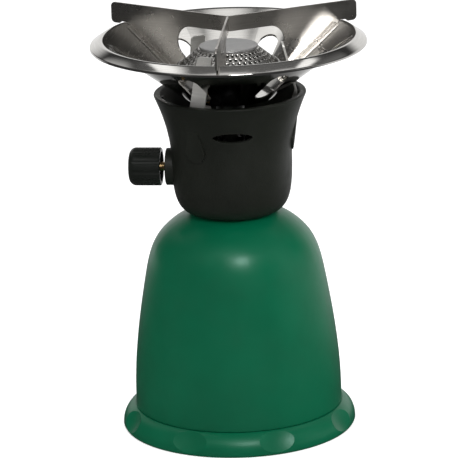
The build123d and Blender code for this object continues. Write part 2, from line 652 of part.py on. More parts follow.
def make_burner_cap():
    _, head = screen_run()
    low, high = head[1] + SCREEN_SHEET / 2, head[1] + SCREEN_SHEET / 2 + CAP_H
    cap = drum(CAP_R + 0.1, low, high)
    return fillet(cap.edges().group_by(Axis.Z)[-1], CAP_H * 0.45)


# ---- Dish ----
def dish_top(r):
    """Height of the dish's upper face on its straight slope."""
    middle = dish_mid_z + (r - DISH_FLOOR_R) * dish_slope
    return middle + DISH_SHEET / 2 / cos(radians(dish_tilt))


def make_dish():
    brim_z = crest_z - BRIM_DROP
    line = [(TUBE_R, dish_mid_z), (DISH_FLOOR_R, dish_mid_z), (DISH_CREST_R, crest_z), (brim_r, brim_z),
            (brim_r + 0.05, brim_z - HEM_H)]
    path = FilletPolyline(*line, radius=(CREST_ROUND, CREST_ROUND, 0.5))
    profile = Plane.XZ * trace(path, line_width=DISH_SHEET)
    dish = revolve(profile, Axis.Z)
    slot = extrude(SlotOverall(SLOT_OUT_R - SLOT_IN_R, SLOT_W), 40)
    for i in range(SLOT_COUNT):
        dish -= at_angle(SLOT_START + 360 / SLOT_COUNT * i,
                         Pos((SLOT_IN_R + SLOT_OUT_R) / 2, 0, dish_floor_z + 1) * slot)
    return dish


# ---- Pan support ----
def arm_outline(inner_r):
    """Side view of one arm, as (radius, height), before its window is cut."""
    low = pan_z - TAB_H
    foot_z = dish_top(arm_foot_r)
    seat_r = DISH_FLOOR_R + (arm_seat_z - WELD_GAP - dish_top(DISH_FLOOR_R)) / dish_slope
    face = make_face(Polyline(
        (inner_r, pan_z), (arm_reach, pan_z), (arm_reach, low), (tab_in_r, low), (tab_in_r - 1.2, arm_seat_z),
        (seat_r, arm_seat_z), (arm_foot_r, foot_z + WELD_GAP), (inner_r, foot_z), close=True))
    return fillet(face.vertices().group_by(Axis.X)[-1], TAB_ROUND)


def vee_window():
    """Opening of a bent arm, whose round outer end turns back in to the burner's rim."""
    top, foot, over = pan_z - WINDOW_DROP, dish_floor_z, -3
    crown, side = (WINDOW_R - WINDOW_ROUND, top), (WINDOW_R, top - WINDOW_ROUND)
    toe = (arm_foot_r, burner_rim_z + RIM_ROOM)
    return make_face([TangentArc(crown, side, tangent=(1, 0)), TangentArc(side, toe, tangent=(0, -1)),
                      Polyline(toe, (arm_foot_r, foot), (over, foot), (over, top), crown)])


def blade_window():
    """Opening of the single blade: straight beside the burner cap, sloped clear of the cone."""
    top, foot = pan_z - WINDOW_DROP, dish_floor_z
    _, head = screen_run()
    hole = make_face(Polyline((-5, foot), (arm_foot_r, foot), (arm_foot_r + 0.4, burner_rim_z + 2.4),
                              (BLADE_WINDOW_R, head[1] - 1.0), (BLADE_WINDOW_R, top), (-5, top), close=True))
    return fillet(hole.vertices().group_by(Axis.Y)[-1].group_by(Axis.X)[-1], 2.0)


def arm_flange(side):
    """Foot flange folded to one side of an arm, flat on the dish's slope."""
    start, end = arm_foot_r + 2.0, DISH_CREST_R - 3.2
    up = (-sin(radians(dish_tilt)) * ARM_SHEET, cos(radians(dish_tilt)) * ARM_SHEET)
    low, high = dish_top(start) + WELD_GAP, dish_top(end) + WELD_GAP
    face = Plane.XZ * make_face(Polyline((start, low), (end, high), (end + up[0], high + up[1]),
                                         (start + up[0], low + up[1]), close=True))
    return extrude(face, -side * FLANGE_W)


def make_pan_support_vee():
    arms = [ARM_START + 120, ARM_START + 240]
    ends = [((arm_reach + 1) * cos(radians(a)), (arm_reach + 1) * sin(radians(a))) for a in arms]
    path = FilletPolyline(ends[0], (0, 0), ends[1], radius=VEE_BEND_R)
    sheet = Pos(0, 0, dish_floor_z) * extrude(trace(path, line_width=ARM_SHEET), pan_z - dish_floor_z)
    plate = extrude(Plane.XZ * (arm_outline(-2) - vee_window()), 3, both=True)
    vee = sheet & (at_angle(arms[0], plate) + at_angle(arms[1], plate))
    return vee + at_angle(arms[0], arm_flange(-1)) + at_angle(arms[1], arm_flange(1))


def make_pan_support_blade():
    face = arm_outline(ARM_SHEET / 2 + 0.1) - blade_window()
    blade = extrude(Plane.XZ * face, ARM_SHEET / 2, both=True) + arm_flange(-1)
    return at_angle(ARM_START, blade)


NODES = {
    "base_ring": make_base_ring,
    "cartridge_shell": make_cartridge_shell,
    "cartridge_bottom": make_cartridge_bottom,
    "bell_housing": make_bell_housing,
    "shroud": make_shroud,
    "valve_body": make_valve_body,
    "valve_washer": make_valve_washer,
    "valve_nut": make_valve_nut,
    "piercing_needle": make_piercing_needle,
    "cartridge_seal": make_cartridge_seal,
    "gland_nut": make_gland_nut,
    "spindle_ring": make_spindle_ring,
    "valve_spindle": make_valve_spindle,
    "knob": make_knob,
    "jet_nozzle": make_jet_nozzle,
    "mixing_tube": make_mixing_tube,
    "burner_base": make_burner_base,
    "burner_nut": make_burner_nut,
    "burner_screen": make_burner_screen,
    "burner_cap": make_burner_cap,
    "dish": make_dish,
    "leg_screws": make_leg_screws,
    "pan_support_vee": make_pan_support_vee,
    "pan_support_blade": make_pan_support_blade,
}

os.makedirs("parts", exist_ok=True)
for name, make in NODES.items():
    export_step(make(), f"parts/{name}.step")
leg = make_leg()
for name, angle in zip(("leg_front", "leg_right", "leg_rear"), thirds(LEG_START)):
    export_step(at_angle(angle, leg), f"parts/{name}.step")
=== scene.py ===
import json
from math import atan2, cos, hypot, pi, radians, sin, tan

import bmesh
import bpy
from mathutils import Matrix, Quaternion, Vector

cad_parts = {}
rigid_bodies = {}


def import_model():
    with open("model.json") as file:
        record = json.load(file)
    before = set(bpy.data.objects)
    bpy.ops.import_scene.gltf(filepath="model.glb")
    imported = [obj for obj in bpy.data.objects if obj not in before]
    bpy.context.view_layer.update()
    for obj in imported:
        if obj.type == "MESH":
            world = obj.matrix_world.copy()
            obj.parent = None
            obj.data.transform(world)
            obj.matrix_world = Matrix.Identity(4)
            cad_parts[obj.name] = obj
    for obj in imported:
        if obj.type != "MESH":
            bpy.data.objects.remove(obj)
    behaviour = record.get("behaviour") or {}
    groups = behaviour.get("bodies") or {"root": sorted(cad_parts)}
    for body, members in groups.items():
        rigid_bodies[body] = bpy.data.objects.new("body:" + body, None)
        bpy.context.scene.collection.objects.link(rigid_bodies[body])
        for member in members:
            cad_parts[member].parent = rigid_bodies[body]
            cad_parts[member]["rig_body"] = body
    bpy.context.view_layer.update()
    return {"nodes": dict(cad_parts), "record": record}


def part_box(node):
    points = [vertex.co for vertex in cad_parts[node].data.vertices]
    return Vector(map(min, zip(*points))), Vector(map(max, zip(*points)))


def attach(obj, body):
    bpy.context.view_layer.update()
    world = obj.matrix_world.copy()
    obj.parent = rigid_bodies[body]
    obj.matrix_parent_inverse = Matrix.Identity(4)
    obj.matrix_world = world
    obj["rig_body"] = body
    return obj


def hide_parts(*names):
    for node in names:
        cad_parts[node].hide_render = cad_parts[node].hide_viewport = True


# Tabletop gas stove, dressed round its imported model. Metres, +Z up, valve knob along -X, front -Y.

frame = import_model()
nodes = frame["nodes"]
MM = 0.001


# ---- Camera ----
EYE = Vector((0.198, -1.739, 0.616))
EYE_TURN = atan2(EYE.x, -EYE.y)  # how far round from the stove's front the camera stands
AIM_HEIGHT = 0.101
AIM_LEFT = 0.0025
LENS = 285.3
SENSOR = 36.0
ROLL = -1.75
NEAR = 0.05
FAR = 50


def add_camera():
    data = bpy.data.cameras.new("camera")
    data.lens, data.sensor_width = LENS, SENSOR
    data.clip_start, data.clip_end = NEAR, FAR
    camera = bpy.data.objects.new("camera", data)
    bpy.context.scene.collection.objects.link(camera)
    aim = Vector((-AIM_LEFT * cos(EYE_TURN), -AIM_LEFT * sin(EYE_TURN), AIM_HEIGHT))
    camera.location = EYE
    camera.rotation_mode = "QUATERNION"
    look = (aim - EYE).to_track_quat("-Z", "Y")
    camera.rotation_quaternion = look @ Quaternion((0, 0, 1), radians(ROLL))
    bpy.context.scene.camera = camera


# ---- Node trees ----
# Places of the colour sockets on a Mix node, which has one set of sockets for each kind of data
MIX_MASK = 0
MIX_DARK = 6
MIX_LIGHT = 7
MIX_RESULT = 2


def put(tree, kind, feeds=None, **options):
    """Adds a shader node. feeds maps an input to a value or to the socket that feeds it."""
    made = tree.nodes.new("ShaderNode" + kind)
    for name, value in options.items():
        setattr(made, name, value)
    for key, value in (feeds or {}).items():
        if isinstance(value, bpy.types.NodeSocket):
            tree.links.new(value, made.inputs[key])
        else:
            made.inputs[key].default_value = value
    return made


def maths(tree, operation, *values):
    return put(tree, "Math", dict(enumerate(values)), operation=operation).outputs[0]


def ramp(tree, value, dark_at, lit_at):
    """Smooth mask that is 0 on one side of dark_at and 1 on the other side of lit_at."""
    feeds = {"Value": value, "From Min": dark_at, "From Max": lit_at}
    return put(tree, "MapRange", feeds, interpolation_type="SMOOTHSTEP").outputs[0]


def between(tree, mask, low, high):
    """Value between two values, by a mask."""
    return put(tree, "MapRange", {"Value": mask, "To Min": low, "To Max": high}).outputs[0]


def tint(tree, mask, dark, light):
    """Colour between two colours, by a mask."""
    feeds = {MIX_MASK: mask}
    for socket, colour in ((MIX_DARK, dark), (MIX_LIGHT, light)):
        feeds[socket] = colour if isinstance(colour, bpy.types.NodeSocket) else (*colour, 1)
    return put(tree, "Mix", feeds, data_type="RGBA", clamp_factor=False).outputs[MIX_RESULT]


def object_place(tree):
    return put(tree, "TexCoord").outputs["Object"]


def noise(tree, where, size, detail=2.0, rough=0.5):
    """Noise whose features are about size metres across."""
    feeds = {"Vector": where, "Scale": maths(tree, "DIVIDE", 1.0, size), "Detail": detail, "Roughness": rough}
    return put(tree, "TexNoise", feeds).outputs[0]


def start_group(name, inputs, outputs):
    """Empty node group whose inputs and outputs are all plain values."""
    group = bpy.data.node_groups.new(name, "ShaderNodeTree")
    for label, value in inputs.items():
        socket = group.interface.new_socket(label, in_out="INPUT", socket_type="NodeSocketFloat")
        socket.default_value = value
    for label in outputs:
        group.interface.new_socket(label, in_out="OUTPUT", socket_type="NodeSocketFloat")
    return group, group.nodes.new("NodeGroupInput"), group.nodes.new("NodeGroupOutput")


def place(tree, group, **values):
    """Puts a node group in a material with its own values."""
    made = put(tree, "Group", node_tree=group)
    for label, value in values.items():
        made.inputs[label.replace("_", " ").title()].default_value = value
    return made


# ---- Shared effects ----
# Where each noise starts to show as a mark and where the mark is full
MOTTLE_EDGES = (0.3, 0.7)
STREAK_EDGES = (0.35, 0.7)
SMUDGE_EDGES = (0.42, 0.68)
SPECK_EDGES = (0.68, 0.78)
# The two edge-mask settings below mark worn edges and a painted edge highlight together
WEAR_AND_HIGHLIGHT_PATCH_EDGES = (0.3, 0.6)
WEAR_AND_HIGHLIGHT_BEND_EDGES = (0.02, 0.25)  # how far the eased normal leans away, as 1 less their likeness
BEVEL_SAMPLES = 6


def make_moulded_grain():
    """Spark-eroded mould texture and the slow mottle under it."""
    group, given, made = start_group("moulded_grain", {"Grain Size": 0.6 * MM, "Mottle Size": 30 * MM},
                                     ("Height", "Mottle"))
    where = object_place(group)
    fine = noise(group, where, given.outputs["Grain Size"], detail=3.0, rough=0.6)
    slow = noise(group, where, given.outputs["Mottle Size"], detail=3.0, rough=0.6)
    group.links.new(fine, made.inputs["Height"])
    group.links.new(ramp(group, slow, *MOTTLE_EDGES), made.inputs["Mottle"])
    return group


def streaks(group, made, where):
    """Grain lines on a place that is already counted in line widths and lengths."""
    lines = put(group, "TexNoise", {"Vector": where, "Scale": 1.0, "Detail": 2.0}).outputs[0]
    group.links.new(lines, made.inputs["Height"])
    group.links.new(ramp(group, lines, *STREAK_EDGES), made.inputs["Streak"])


def make_rolled_grain():
    """Fine straight lines of rolled or brushed sheet, across the height of the part."""
    group, given, made = start_group("rolled_grain", {"Line Width": 0.2 * MM, "Line Length": 12 * MM},
                                     ("Height", "Streak"))
    width, length = given.outputs["Line Width"], given.outputs["Line Length"]
    x, y, z = put(group, "SeparateXYZ", {0: object_place(group)}).outputs
    where = put(group, "CombineXYZ", {0: maths(group, "DIVIDE", x, length),
                                      1: maths(group, "DIVIDE", y, length),
                                      2: maths(group, "DIVIDE", z, width)})
    streaks(group, made, where.outputs[0])
    return group


def make_spun_grain():
    """Faint rings left by polishing a pressed sheet on a lathe."""
    group, given, made = start_group("spun_grain", {"Ring Width": 0.3 * MM, "Ring Drift": 20 * MM},
                                     ("Height", "Streak"))
    width, drift = given.outputs["Ring Width"], given.outputs["Ring Drift"]
    x, y, _ = put(group, "SeparateXYZ", {0: object_place(group)}).outputs
    squares = maths(group, "ADD", maths(group, "MULTIPLY", x, x), maths(group, "MULTIPLY", y, y))
    radius = maths(group, "SQRT", squares)
    where = put(group, "CombineXYZ", {0: maths(group, "DIVIDE", radius, width),
                                      1: maths(group, "DIVIDE", x, drift),
                                      2: maths(group, "DIVIDE", y, drift)})
    streaks(group, made, where.outputs[0])
    return group


def make_handling_marks():
    """Smudges and fine specks that dull a surface in places."""
    group, given, made = start_group("handling_marks", {"Smudge Size": 20 * MM, "Speck Size": 0.7 * MM},
                                     ("Smudge", "Speck"))
    where = object_place(group)
    smudge = noise(group, where, given.outputs["Smudge Size"], detail=4.0, rough=0.65)
    speck = noise(group, where, given.outputs["Speck Size"], detail=1.0, rough=0.5)
    group.links.new(ramp(group, smudge, *SMUDGE_EDGES), made.inputs["Smudge"])
    group.links.new(ramp(group, speck, *SPECK_EDGES), made.inputs["Speck"])
    return group


def make_edge_highlight_and_wear():
    """Mask of the convex and concave edges, broken up by noise, for wear and a painted edge highlight
    together.
    """
    group, given, made = start_group("edge_highlight_and_wear", {"Width": 0.5 * MM, "Break Size": 4 * MM}, ("Mask",))
    eased = put(group, "Bevel", {"Radius": given.outputs["Width"]}, samples=BEVEL_SAMPLES).outputs[0]
    true = put(group, "NewGeometry").outputs["Normal"]
    likeness = put(group, "VectorMath", {0: eased, 1: true}, operation="DOT_PRODUCT").outputs["Value"]
    edge = ramp(group, maths(group, "SUBTRACT", 1.0, likeness), *WEAR_AND_HIGHLIGHT_BEND_EDGES)
    broken = noise(group, object_place(group), given.outputs["Break Size"], detail=3.0)
    patches = ramp(group, broken, *WEAR_AND_HIGHLIGHT_PATCH_EDGES)
    group.links.new(maths(group, "MULTIPLY", edge, patches), made.inputs["Mask"])
    return group


moulded_grain = make_moulded_grain()
rolled_grain = make_rolled_grain()
spun_grain = make_spun_grain()
handling_marks = make_handling_marks()
# Edge mask for wear and a painted edge highlight
edge_highlight_and_wear = make_edge_highlight_and_wear()


# ---- Materials ----
# Colours are linear; rough is the roughness on clean and on handled places
# STEEL_EDGE, each material's edge colour and the edge shares and gain below paint pale edges, partly wear and
# partly a painted edge highlight; STEEL_EDGE also colours dust specks
STEEL_EDGE = (0.85, 0.84, 0.82)
PLASTIC_IOR = 1.45
PLASTIC_GRAIN = 0.6 * MM
PLASTIC_EDGE_SHARE = 0.35
SHEET_EDGE_W = 0.3 * MM
SHEET_EDGE_SHARE = 0.7
SMUDGE_SHARE = 0.4
SPECK_SHARE = 0.5
SPECK_ROUGH = 0.05
TURNED_GRAIN = 0.3 * MM
TURNED_MOTTLE = 4 * MM
TURNED_DEPTH = 0.01 * MM
TURNED_EDGE_SHARE = 0.5
TURNED_EDGE_GAIN = 1.25

MOULDED = {
    "green_plastic": {"dark": (0.0, 0.098, 0.043), "light": (0.0, 0.110, 0.049), "rough": (0.32, 0.38),
                      "depth": 0.02 * MM, "edge": (0.0, 0.16, 0.08), "shine": (0.7, 1.0, 0.9)},
    "black_plastic": {"dark": (0.009, 0.011, 0.0075), "light": (0.012, 0.014, 0.010),
                      "rough": (0.46, 0.58), "depth": 0.06 * MM, "edge": (0.05, 0.055, 0.048)},
    "knob_plastic": {"dark": (0.007, 0.009, 0.007), "light": (0.010, 0.012, 0.010),
                     "rough": (0.26, 0.36), "depth": 0.01 * MM, "edge": (0.05, 0.055, 0.05)},
    "can_paint": {"dark": (0.04, 0.11, 0.38), "light": (0.05, 0.13, 0.42), "rough": (0.22, 0.32),
                  "depth": 0.01 * MM, "edge": (0.4, 0.4, 0.42)},
    "rubber": {"dark": (0.015, 0.015, 0.015), "light": (0.022, 0.022, 0.022), "rough": (0.6, 0.75),
               "depth": 0.04 * MM, "edge": (0.04, 0.04, 0.04)},
}
SHEETS = {
    "polished_steel": {"dark": (0.57, 0.56, 0.54), "light": (0.63, 0.62, 0.60), "rough": (0.07, 0.12),
                       "grain": spun_grain, "depth": 0.003 * MM},
    "satin_steel": {"dark": (0.44, 0.42, 0.395), "light": (0.52, 0.50, 0.47), "rough": (0.27, 0.38),
                    "grain": rolled_grain, "depth": 0.012 * MM},
    "strip_steel": {"dark": (0.62, 0.61, 0.58), "light": (0.72, 0.71, 0.68), "rough": (0.30, 0.42),
                    "grain": rolled_grain, "depth": 0.01 * MM, "metal": 0.55},
    "burner_steel": {"dark": (0.50, 0.49, 0.47), "light": (0.58, 0.57, 0.55), "rough": (0.20, 0.30),
                     "grain": spun_grain, "depth": 0.005 * MM},
}
TURNED = {
    "cap_alloy": {"dark": (0.56, 0.56, 0.56), "light": (0.64, 0.64, 0.64), "rough": (0.42, 0.52)},
    "zinc_steel": {"dark": (0.26, 0.265, 0.27), "light": (0.36, 0.365, 0.37), "rough": (0.42, 0.55)},
    "die_cast": {"dark": (0.05, 0.05, 0.052), "light": (0.09, 0.09, 0.095), "rough": (0.45, 0.6)},
    "brass": {"dark": (0.74, 0.49, 0.22), "light": (0.86, 0.60, 0.30), "rough": (0.30, 0.40)},
    "needle_steel": {"dark": (0.45, 0.45, 0.47), "light": (0.52, 0.52, 0.54), "rough": (0.22, 0.3)},
}


def new_material(name, **constants):
    """Material with one Principled shader; constants are set on its own sockets."""
    material = bpy.data.materials.new(name)
    material.use_nodes = True
    shader = material.node_tree.nodes["Principled BSDF"]
    for label, value in constants.items():
        shader.inputs[label.replace("_", " ")].default_value = value
    return material, material.node_tree, shader


def feed(tree, shader, **sockets):
    for label, socket in sockets.items():
        tree.links.new(socket, shader.inputs[label.replace("_", " ")])


def relief(tree, height, depth):
    """Normal from a height in shares of depth metres."""
    return put(tree, "Bump", {"Height": height, "Distance": depth, "Strength": 1.0}).outputs[0]


def marked(tree, mask, share, body, mark):
    """The body's colour with a mark laid over it as strongly as its share says."""
    return tint(tree, maths(tree, "MULTIPLY", mask, share), body, mark)


def moulded_plastic(name, dark, light, rough, depth, edge, shine=(1, 1, 1)):
    """Moulded or painted skin with a fine grain, and paler edges that are partly wear and partly a painted
    highlight.
    """
    material, tree, shader = new_material(name, Metallic=0.0, IOR=PLASTIC_IOR, Specular_Tint=(*shine, 1))
    grain = place(tree, moulded_grain, grain_size=PLASTIC_GRAIN)
    marks = place(tree, handling_marks)
    lit_and_worn = place(tree, edge_highlight_and_wear).outputs["Mask"]
    body = tint(tree, grain.outputs["Mottle"], dark, light)
    feed(tree, shader, Base_Color=marked(tree, lit_and_worn, PLASTIC_EDGE_SHARE, body, edge),
         Roughness=between(tree, marks.outputs["Smudge"], *rough),
         Normal=relief(tree, grain.outputs["Height"], depth))
    return material


def sheet_metal(name, dark, light, rough, grain, depth, metal=1.0):
    """Bare sheet with grain lines, smudges, specks, and bright cut edges that are partly worn metal and
    partly a painted highlight.
    """
    material, tree, shader = new_material(name, Metallic=metal)
    lines = place(tree, grain)
    marks = place(tree, handling_marks)
    smudge, speck = marks.outputs["Smudge"], marks.outputs["Speck"]
    lit_and_worn = place(tree, edge_highlight_and_wear, width=SHEET_EDGE_W).outputs["Mask"]
    body = tint(tree, lines.outputs["Streak"], dark, light)
    dulled = marked(tree, smudge, SMUDGE_SHARE, body, dark)
    dusty = marked(tree, speck, SPECK_SHARE, dulled, STEEL_EDGE)
    roughness = maths(tree, "ADD", between(tree, smudge, *rough), maths(tree, "MULTIPLY", speck, SPECK_ROUGH))
    feed(tree, shader, Base_Color=marked(tree, lit_and_worn, SHEET_EDGE_SHARE, dusty, STEEL_EDGE),
         Roughness=roughness, Normal=relief(tree, lines.outputs["Height"], depth))
    return material


def turned_metal(name, dark, light, rough):
    """Machined, cast or plated metal with a slow change of tone, and brighter edges that are partly wear and
    partly a painted highlight.
    """
    material, tree, shader = new_material(name, Metallic=1.0)
    grain = place(tree, moulded_grain, grain_size=TURNED_GRAIN, mottle_size=TURNED_MOTTLE)
    lit_and_worn = place(tree, edge_highlight_and_wear, width=SHEET_EDGE_W).outputs["Mask"]
    body = tint(tree, grain.outputs["Mottle"], dark, light)
    # Edges lightened past the body's light tone: wear together with a painted edge highlight
    bright = [min(1.0, channel * TURNED_EDGE_GAIN) for channel in light]
    feed(tree, shader, Base_Color=marked(tree, lit_and_worn, TURNED_EDGE_SHARE, body, bright),
         Roughness=between(tree, grain.outputs["Mottle"], *rough),
         Normal=relief(tree, grain.outputs["Height"], TURNED_DEPTH))
    return material


def make_materials():
    made = {}
    for make, looks in ((moulded_plastic, MOULDED), (sheet_metal, SHEETS), (turned_metal, TURNED)):
        for name, look in looks.items():
            made[name] = make(name, **look)
    return made


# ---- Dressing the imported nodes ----
def dress(materials):
    """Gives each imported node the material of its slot; the knob is glossier than the shroud."""
    for part in frame["record"]["subparts"]:
        name = part["node"]
        slot = "knob_plastic" if name == "knob" else part["material_slot"]
        for mesh_slot in nodes[name].material_slots:
            mesh_slot.link = "OBJECT"
            mesh_slot.material = materials[slot]


# ---- Making pieces, drawn in millimetres ----
MERGE_WITHIN = 0.002
FLAT_ANGLE = 1
CREASE_ANGLE = 40
SHEET_CREASE_ANGLE = 35
EDGE_ROUND = 0.15
EDGE_SEGMENTS = 2


def add_object(name, data):
    made = bpy.data.objects.new(name, data)
    bpy.context.scene.collection.objects.link(made)
    return made


def finish_piece(name, mesh, node, materials, slot):
    """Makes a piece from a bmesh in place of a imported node, on the node's body."""
    bmesh.ops.remove_doubles(mesh, verts=mesh.verts, dist=MERGE_WITHIN * MM)
    bmesh.ops.recalc_face_normals(mesh, faces=mesh.faces)
    data = bpy.data.meshes.new(name)
    mesh.to_mesh(data)
    mesh.free()
    piece = add_object(name, data)
    data.materials.append(materials[slot])
    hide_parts(node)
    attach(piece, nodes[node]["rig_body"])
    return piece


def smooth_between_creases(piece, angle):
    """Smooth shading that keeps each edge sharper than the angle, in degrees, as a crease."""
    mesh = bmesh.new()
    mesh.from_mesh(piece.data)
    for face in mesh.faces:
        face.smooth = True
    for edge in mesh.edges:
        if len(edge.link_faces) == 2 and edge.calc_face_angle() > radians(angle):
            edge.smooth = False
    mesh.to_mesh(piece.data)
    mesh.free()


def packed_mesh(node):
    mesh = bmesh.new()
    mesh.from_mesh(nodes[node].data)
    return mesh


def eased_copy(node, materials, slot):
    """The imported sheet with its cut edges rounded."""
    mesh = packed_mesh(node)
    bmesh.ops.remove_doubles(mesh, verts=mesh.verts, dist=MERGE_WITHIN * MM)
    bmesh.ops.dissolve_limit(mesh, angle_limit=radians(FLAT_ANGLE), verts=mesh.verts, edges=mesh.edges)
    piece = finish_piece(node + "_eased", mesh, node, materials, slot)
    bevel = piece.modifiers.new("edge_round", "BEVEL")
    bevel.width, bevel.segments = EDGE_ROUND * MM, EDGE_SEGMENTS
    bevel.limit_method, bevel.angle_limit = "ANGLE", radians(SHEET_CREASE_ANGLE)
    bevel.harden_normals = True
    smooth_between_creases(piece, SHEET_CREASE_ANGLE)


def bridge(mesh, ring_a, ring_b):
    """Quads between two closed rings of points."""
    a, b = ([mesh.verts.new(Vector(p) * MM) for p in ring] for ring in (ring_a, ring_b))
    for i in range(len(a)):
        j = (i + 1) % len(a)
        mesh.faces.new((a[i], a[j], b[j], b[i]))


def bridge_all(mesh, rings):
    for ring_a, ring_b in zip(rings, rings[1:]):
        bridge(mesh, ring_a, ring_b)


def ring_at(r, z, steps):
    return [(r * cos(2 * pi * i / steps), r * sin(2 * pi * i / steps), z) for i in range(steps)]


def turn_to(start, count, i):
    """Turn round the stove's axis to the i-th of so many places, the first at start degrees."""
    return Matrix.Rotation(radians(start + 360 / count * i), 3, "Z")


def add_prism(mesh, low_points, high_points):
    """Closed prism between two outlines."""
    low, high = ([mesh.verts.new(Vector(p) * MM) for p in points] for points in (low_points, high_points))
    mesh.faces.new(reversed(low))
    mesh.faces.new(high)
    for a, b, c, d in zip(low, low[1:] + low[:1], high[1:] + high[:1], high):
        mesh.faces.new((a, b, c, d))


def cutter_from(name, mesh):
    """Object to cut with, from a bmesh of closed prisms."""
    bmesh.ops.recalc_face_normals(mesh, faces=mesh.faces)
    data = bpy.data.meshes.new(name)
    mesh.to_mesh(data)
    mesh.free()
    return add_object(name, data)


def cut_with(piece, cutter):
    """Cuts the piece for good and clears the cutter away."""
    cut = piece.modifiers.new("cut", "BOOLEAN")
    cut.object, cut.solver = cutter, "EXACT"
    whole = piece.data
    bpy.context.view_layer.update()
    shown_piece = piece.evaluated_get(bpy.context.evaluated_depsgraph_get())
    piece.data = bpy.data.meshes.new_from_object(shown_piece)
    piece.modifiers.remove(cut)
    bpy.data.meshes.remove(whole)
    bpy.data.meshes.remove(cutter.data)


# ---- Dish ----
DISH_SHEET = 0.8
DISH_FLOOR_R = 22.3
DISH_BORE_R = 7.0
BRIM_W = 5.3
BRIM_DROP = 3.4
HEM_H = 0.9
HEM_SPREAD = 0.05
CREST_ROUND = 2.2
HEM_ROUND = 0.5
SLOT_W = 10.6
SLOT_IN_R = 26.8
SLOT_OUT_R = 48.5
SLOT_COUNT = 6
SLOT_START = -110.6
SLOT_FLOOR_ROOM = 1.5
BEND_STEPS = 8
SLOT_END_STEPS = 20
DISH_STEPS = 384
ON_SLOPE = 0.8  # least likeness of a face's normal to the slope's own, which leaves out slot walls


def rounded_line(points, radii):
    """Run of (radius, height) points whose inner corners are rounded."""
    line = [Vector(points[0])]
    for before, corner, after, radius in zip(points, points[1:], points[2:], radii):
        back = (Vector(before) - Vector(corner)).normalized()
        on = (Vector(after) - Vector(corner)).normalized()
        half = back.angle(on) / 2
        centre = Vector(corner) + (back + on).normalized() * radius / sin(half)
        start, end = (Vector(corner) + way * radius / tan(half) for way in (back, on))
        for i in range(BEND_STEPS + 1):
            line.append(centre + (start.lerp(end, i / BEND_STEPS) - centre).normalized() * radius)
    return line + [Vector(points[-1])]


def beside(line, distance):
    """The same run moved to its left."""
    moved = []
    for i, point in enumerate(line):
        run = (line[min(i + 1, len(line) - 1)] - line[max(i - 1, 0)]).normalized()
        moved.append(point + Vector((-run.y, run.x)) * distance)
    return moved


def slot_outline():
    """Round-ended outline of a slot along +X."""
    middle, half_run = (SLOT_IN_R + SLOT_OUT_R) / 2, (SLOT_OUT_R - SLOT_IN_R - SLOT_W) / 2
    outline = []
    for side in (1, -1):
        for k in range(SLOT_END_STEPS + 1):
            angle = pi * (k / SLOT_END_STEPS - 0.5)
            reach = half_run + SLOT_W / 2 * cos(angle)
            outline.append((middle + side * reach, side * SLOT_W / 2 * sin(angle)))
    return outline


def slot_cutter(low_z, high_z):
    """Upright prisms where the slots go through the dish's slope."""
    mesh = bmesh.new()
    for i in range(SLOT_COUNT):
        turn = turn_to(SLOT_START, SLOT_COUNT, i)
        ends = [[turn @ Vector((x, y, z)) for x, y in slot_outline()] for z in (low_z, high_z)]
        add_prism(mesh, *ends)
    return cutter_from("slot_cutter", mesh)


def slope_normal(x, y, run, rise):
    """Upward normal of the dish's straight slope at a place."""
    r = hypot(x, y)
    return Vector((-x / r * rise, -y / r * rise, run)).normalized()


def true_up_slope(piece, start_r, end_r, run, rise):
    """Gives every corner on the dish's straight slope the slope's own normal."""
    data = piece.data
    normals = [(0, 0, 0)] * len(data.loops)
    for face in data.polygons:
        side = face.normal.dot(slope_normal(face.center.x, face.center.y, run, rise))
        if abs(side) < ON_SLOPE:
            continue
        for corner in face.loop_indices:
            x, y, _ = data.vertices[data.loops[corner].vertex_index].co
            if start_r < hypot(x, y) / MM < end_r:
                normal = slope_normal(x, y, run, rise)
                normals[corner] = normal if side > 0 else -normal
    data.normals_split_custom_set(normals)


def make_dish(materials):
    """Spun dish with a rolled brim, turned finely enough for its polish."""
    low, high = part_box("dish")
    half = DISH_SHEET / 2
    floor_z, top_z, out_r = low.z / MM + half, high.z / MM, high.x / MM
    brim_r = out_r - half - HEM_SPREAD
    crest_r = brim_r - BRIM_W
    in_way = Vector((DISH_FLOOR_R - crest_r, floor_z - top_z)).normalized()
    out_way = Vector((BRIM_W, -BRIM_DROP)).normalized()
    corner_rise = -(in_way + out_way).normalized().y * CREST_ROUND / sin(in_way.angle(out_way) / 2)
    crest_z = top_z - half - CREST_ROUND + corner_rise
    line = rounded_line([(DISH_BORE_R, floor_z), (DISH_FLOOR_R, floor_z), (crest_r, crest_z),
                         (brim_r, crest_z - BRIM_DROP), (brim_r + HEM_SPREAD, crest_z - BRIM_DROP - HEM_H)],
                        (CREST_ROUND, CREST_ROUND, HEM_ROUND))
    outline = beside(line, half) + list(reversed(beside(line, -half)))
    outline.append(outline[0])
    mesh = bmesh.new()
    bridge_all(mesh, [ring_at(r, z, DISH_STEPS) for r, z in outline])
    piece = finish_piece("dish_spun", mesh, "dish", materials, "polished_steel")
    cut_with(piece, slot_cutter(floor_z + SLOT_FLOOR_ROOM, top_z))
    smooth_between_creases(piece, CREASE_ANGLE)
    true_up_slope(piece, DISH_FLOOR_R + CREST_ROUND, crest_r - CREST_ROUND,
                  run=crest_r - DISH_FLOOR_R, rise=crest_z - floor_z)


